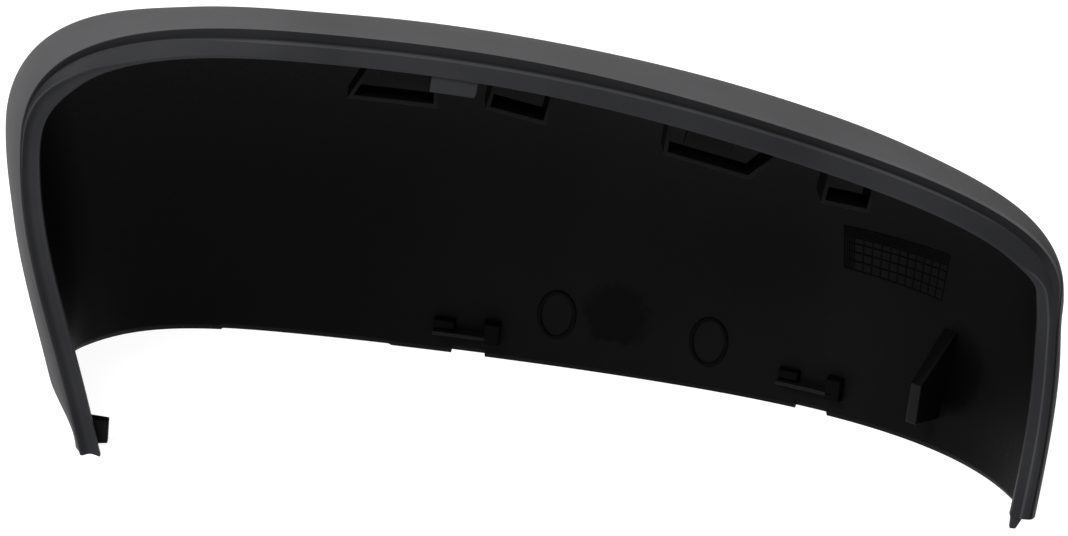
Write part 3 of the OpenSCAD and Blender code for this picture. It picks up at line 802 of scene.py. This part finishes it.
def beadTree():
    tree = bpy.data.node_groups.new("beadAlongLines", "GeometryNodeTree")
    tree.interface.new_socket("Lines", in_out="INPUT", socket_type="NodeSocketGeometry")
    tree.interface.new_socket("Bead radius", in_out="INPUT", socket_type="NodeSocketFloat")
    tree.interface.new_socket("Bead sides", in_out="INPUT", socket_type="NodeSocketInt")
    tree.interface.new_socket("Finish", in_out="INPUT", socket_type="NodeSocketMaterial")
    tree.interface.new_socket("Beads", in_out="OUTPUT", socket_type="NodeSocketGeometry")
    nodes, links = tree.nodes, tree.links
    given, made = nodes.new("NodeGroupInput"), nodes.new("NodeGroupOutput")
    toCurve = nodes.new("GeometryNodeMeshToCurve")
    circle = nodes.new("GeometryNodeCurvePrimitiveCircle")
    sweep = nodes.new("GeometryNodeCurveToMesh")
    realize = nodes.new("GeometryNodeRealizeInstances")
    finish = nodes.new("GeometryNodeSetMaterial")
    links.new(given.outputs["Lines"], toCurve.inputs["Mesh"])
    links.new(given.outputs["Bead radius"], circle.inputs["Radius"])
    links.new(given.outputs["Bead sides"], circle.inputs["Resolution"])
    links.new(toCurve.outputs["Curve"], sweep.inputs["Curve"])
    links.new(circle.outputs["Curve"], sweep.inputs["Profile Curve"])
    sweep.inputs["Fill Caps"].default_value = True
    links.new(sweep.outputs["Mesh"], realize.inputs["Geometry"])
    links.new(realize.outputs["Geometry"], finish.inputs["Geometry"])
    links.new(given.outputs["Finish"], finish.inputs["Material"])
    links.new(finish.outputs["Geometry"], made.inputs["Beads"])
    return tree


def beadPiece(name, lines, radius, sides, material, tree):
    points, edges = [], []
    for line, closed in lines:
        first = len(points)
        points += [tuple(Vector(p) / 1000) for p in line]
        edges += [(first + k, first + k + 1) for k in range(len(line) - 1)]
        if closed:
            edges.append((len(points) - 1, first))
    guide = bpy.data.meshes.new(name + "Guide")
    guide.from_pydata(points, edges, [])
    holder = bpy.data.objects.new(name + "Guide", guide)
    bpy.context.scene.collection.objects.link(holder)
    modifier = holder.modifiers.new("beads", "NODES")
    modifier.node_group = tree
    socketIds = {item.name: item.identifier for item in tree.interface.items_tree if item.in_out == "INPUT"}
    modifier[socketIds["Bead radius"]] = radius / 1000
    modifier[socketIds["Bead sides"]] = sides
    modifier[socketIds["Finish"]] = material
    bpy.context.view_layer.update()
    made = bpy.data.meshes.new_from_object(holder.evaluated_get(bpy.context.evaluated_depsgraph_get()))
    bpy.data.objects.remove(holder)
    piece = bpy.data.objects.new(name, made)
    made.name = name
    bpy.context.scene.collection.objects.link(piece)
    made.shade_smooth()
    finishPiece(piece)


beads = beadTree()
ringSizes = {"at": [2.675, 2.973], "down": 0.933, "width": 9.6, "height": 13.0, "ring": 1.1, "lift": 0.05,
             "points": 64, "sides": 10}
ringLines = []
for at in ringSizes["at"]:
    place = wallMatrix(at, ringSizes["down"])
    rx, ry = (ringSizes["width"] - ringSizes["ring"]) / 2, (ringSizes["height"] - ringSizes["ring"]) / 2
    turns = np.linspace(0, 2 * math.pi, ringSizes["points"], endpoint=False)
    line = [place @ Vector((rx * math.cos(a), ry * math.sin(a), ringSizes["lift"])) for a in turns]
    ringLines.append((line, True))
# the ring pads are near-black: painted shade around the rings
beadPiece("ringPads", ringLines, ringSizes["ring"] / 2, ringSizes["sides"], darkShadePlastic, beads)

gridSizes = {
    "corners": [(3.213, 0.661), (3.488, 0.612), (3.235, 0.75), (3.503, 0.73)],  # place along, share down
    "columns": 12, "rows": 5, "headRows": [0.05, 0.1, 0.15, 0.25], "sideColumns": [0.02, 0.04, 0.06],
    "bar": 0.42, "lift": 0.05, "sides": 6, "pointsDown": 9, "pointsAcross": 25,
}


def gridPlace(u, w):
    c = np.array(gridSizes["corners"])
    at, down = (1 - w) * ((1 - u) * c[0] + u * c[1]) + w * ((1 - u) * c[2] + u * c[3])
    return wallMatrix(at, down) @ Vector((0, 0, gridSizes["lift"]))


gridLines = []
columns, rows = gridSizes["columns"], gridSizes["rows"]
for u in [i / columns for i in range(columns + 1)] + gridSizes["sideColumns"]:
    gridLines.append(([gridPlace(u, w) for w in np.linspace(0, 1, gridSizes["pointsDown"])], False))
for w in [j / rows for j in range(rows + 1)] + gridSizes["headRows"]:
    gridLines.append(([gridPlace(u, w) for u in np.linspace(0, 1, gridSizes["pointsAcross"])], False))
# the grid's lines are near-black: painted shade along them
beadPiece("dateGrid", gridLines, gridSizes["bar"] / 2, gridSizes["sides"], gridPlastic, beads)
print("ring pads and date grid made")

# Floor, light and camera

studio = {
    "floorSize": 12.0, "floorColour": (0.3, 0.3, 0.3), "floorRoughness": 0.9, "floorGlow": 0.95,
    "worldStrength": 0.15,
    "keyPower": 30.0, "keySize": (0.7, 0.7), "keyPlace": (-0.65, -0.85, 1.15),
    "skyPower": 13.0, "skySize": (2.4, 1.2), "skyPlace": (0.1, 1.1, 1.1),
    "aim": (0, 0, 0.05),
}
size = studio["floorSize"]
floorMesh = bpy.data.meshes.new("studioFloor")
floorCorners = [(-size, -size, 0), (size, -size, 0), (size, size, 0), (-size, size, 0)]
floorMesh.from_pydata(floorCorners, [], [(0, 1, 2, 3)])
studioFloor = bpy.data.objects.new("studioFloor", floorMesh)
bpy.context.scene.collection.objects.link(studioFloor)
floorPaper = bpy.data.materials.new("paleFloorPaper")
floorPaper.use_nodes = True
paper = floorPaper.node_tree.nodes["Principled BSDF"]
paper.inputs["Base Color"].default_value = studio["floorColour"] + (1,)
paper.inputs["Roughness"].default_value = studio["floorRoughness"]
paper.inputs["Emission Color"].default_value = (1, 1, 1, 1)
paper.inputs["Emission Strength"].default_value = studio["floorGlow"]
floorMesh.materials.append(floorPaper)

world = bpy.data.worlds.new("paleStudio")
world.use_nodes = True
world.node_tree.nodes["Background"].inputs["Color"].default_value = (1, 1, 1, 1)
world.node_tree.nodes["Background"].inputs["Strength"].default_value = studio["worldStrength"]
bpy.context.scene.world = world


def softbox(name, power, size, place):
    light = bpy.data.lights.new(name, "AREA")
    light.shape = "RECTANGLE"
    light.size, light.size_y = size
    light.energy = power
    holder = bpy.data.objects.new(name, light)
    bpy.context.scene.collection.objects.link(holder)
    holder.location = place
    holder.rotation_euler = (Vector(studio["aim"]) - holder.location).to_track_quat("-Z", "Y").to_euler()


softbox("keyBox", studio["keyPower"], studio["keySize"], studio["keyPlace"])
softbox("skyBox", studio["skyPower"], studio["skySize"], studio["skyPlace"])

cameraSetup = {"aside": 3.0, "down": 21.0, "roll": 5.85, "distance": 1.0, "lens": 149.0, "sensor": 36.0,
               "target": (-0.01044, 0.01179, 0.05)}  # degrees, metres and millimetres of lens
aside, down, roll = (math.radians(cameraSetup[k]) for k in ("aside", "down", "roll"))
look = Vector((math.sin(aside) * math.cos(down), math.cos(aside) * math.cos(down), -math.sin(down)))
level = Vector((math.cos(aside), -math.sin(aside), 0))
upright = level.cross(look)
right = math.cos(roll) * level + math.sin(roll) * upright
above = math.cos(roll) * upright - math.sin(roll) * level
cameraData = bpy.data.cameras.new("rearCamera")
cameraData.lens, cameraData.sensor_width = cameraSetup["lens"], cameraSetup["sensor"]
cameraData.clip_end = 50
rearCamera = bpy.data.objects.new("rearCamera", cameraData)
bpy.context.scene.collection.objects.link(rearCamera)
facing = Matrix((right, above, -look)).transposed().to_4x4()
facing.translation = Vector(cameraSetup["target"]) + Vector(shift) / 1000 - look * cameraSetup["distance"]
rearCamera.matrix_world = facing
bpy.context.scene.camera = rearCamera
bpy.context.scene.view_settings.view_transform = "Standard"
bpy.context.scene.view_settings.look = "None"
print("floor, light and camera made")
